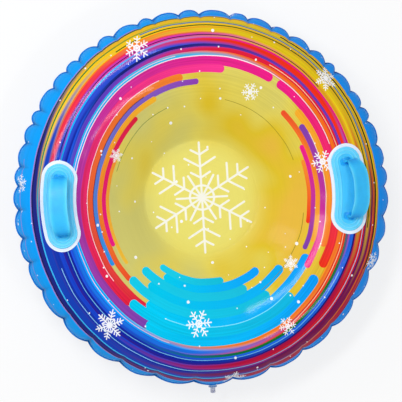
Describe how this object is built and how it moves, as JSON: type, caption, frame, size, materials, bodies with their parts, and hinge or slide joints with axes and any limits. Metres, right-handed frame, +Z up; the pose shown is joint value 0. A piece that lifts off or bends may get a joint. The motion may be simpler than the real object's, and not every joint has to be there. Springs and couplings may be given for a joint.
{
  "type": "inflatable snow tube sled",
  "caption": "Round inflatable snow sled: a puckered welded ring around a sunken seat floor, with soft strap grips on oval patches and a push-in air valve with tethered plug.",
  "frame": {"origin": "middle of the seat floor's upper face", "axes": "+Z up out of the seat, the grips on the X axis (left grip at -X), the valve at -Y"},
  "size_m": [1.0093, 1.0343, 0.2726],
  "materials": {
    "printed_sheet": "glossy printed PVC film",
    "blue_sheet": "glossy thick PVC film",
    "white_sheet": "glossy white PVC film",
    "handle_blue": "soft moulded PVC, satin gloss",
    "clear_blue": "translucent soft PVC, bluish",
    "clear_lilac": "translucent soft PVC, grey lilac"
  },
  "bodies": {
    "sled": {"top_sheet": "printed_sheet", "base_sheet": "blue_sheet", "handle_patch_left": "white_sheet", "handle_patch_right": "white_sheet", "handle_base_left": "handle_blue", "handle_base_right": "handle_blue", "valve_flange": "clear_blue"},
    "left_grip": {"handle_grip_left": "handle_blue"},
    "right_grip": {"handle_grip_right": "handle_blue"},
    "stem": {"valve_stem": "clear_lilac"},
    "plug": {"valve_plug": "clear_lilac", "valve_strap": "clear_lilac"},
    "flap": {"valve_flap": "clear_lilac"}
  },
  "joints": [
    {"name": "left_grip_lean", "type": "hinge", "parent": "sled", "child": "left_grip", "pos_m": [-0.37821, 0, 0.11985], "axis": [0, -1, 0], "range_deg": [-55, 55], "stiffness_Nm_per_rad": 0.25},
    {"name": "right_grip_lean", "type": "hinge", "parent": "sled", "child": "right_grip", "pos_m": [0.37821, 0, 0.11985], "axis": [0, 1, 0], "range_deg": [-105, 5], "stiffness_Nm_per_rad": 0.25},
    {"name": "valve_push", "type": "slide", "parent": "sled", "child": "stem", "axis": [0, 0.9806, 0.1963], "range_m": [0, 0.0078]},
    {"name": "plug_pull", "type": "slide", "parent": "stem", "child": "plug", "axis": [0, -0.9806, -0.1963], "range_m": [0, 0.012]},
    {"name": "flap_swing", "type": "hinge", "parent": "stem", "child": "flap", "pos_m": [0, -0.4939, -0.02143], "axis": [1, 0, 0], "range_deg": [0, 60]}
  ]
}
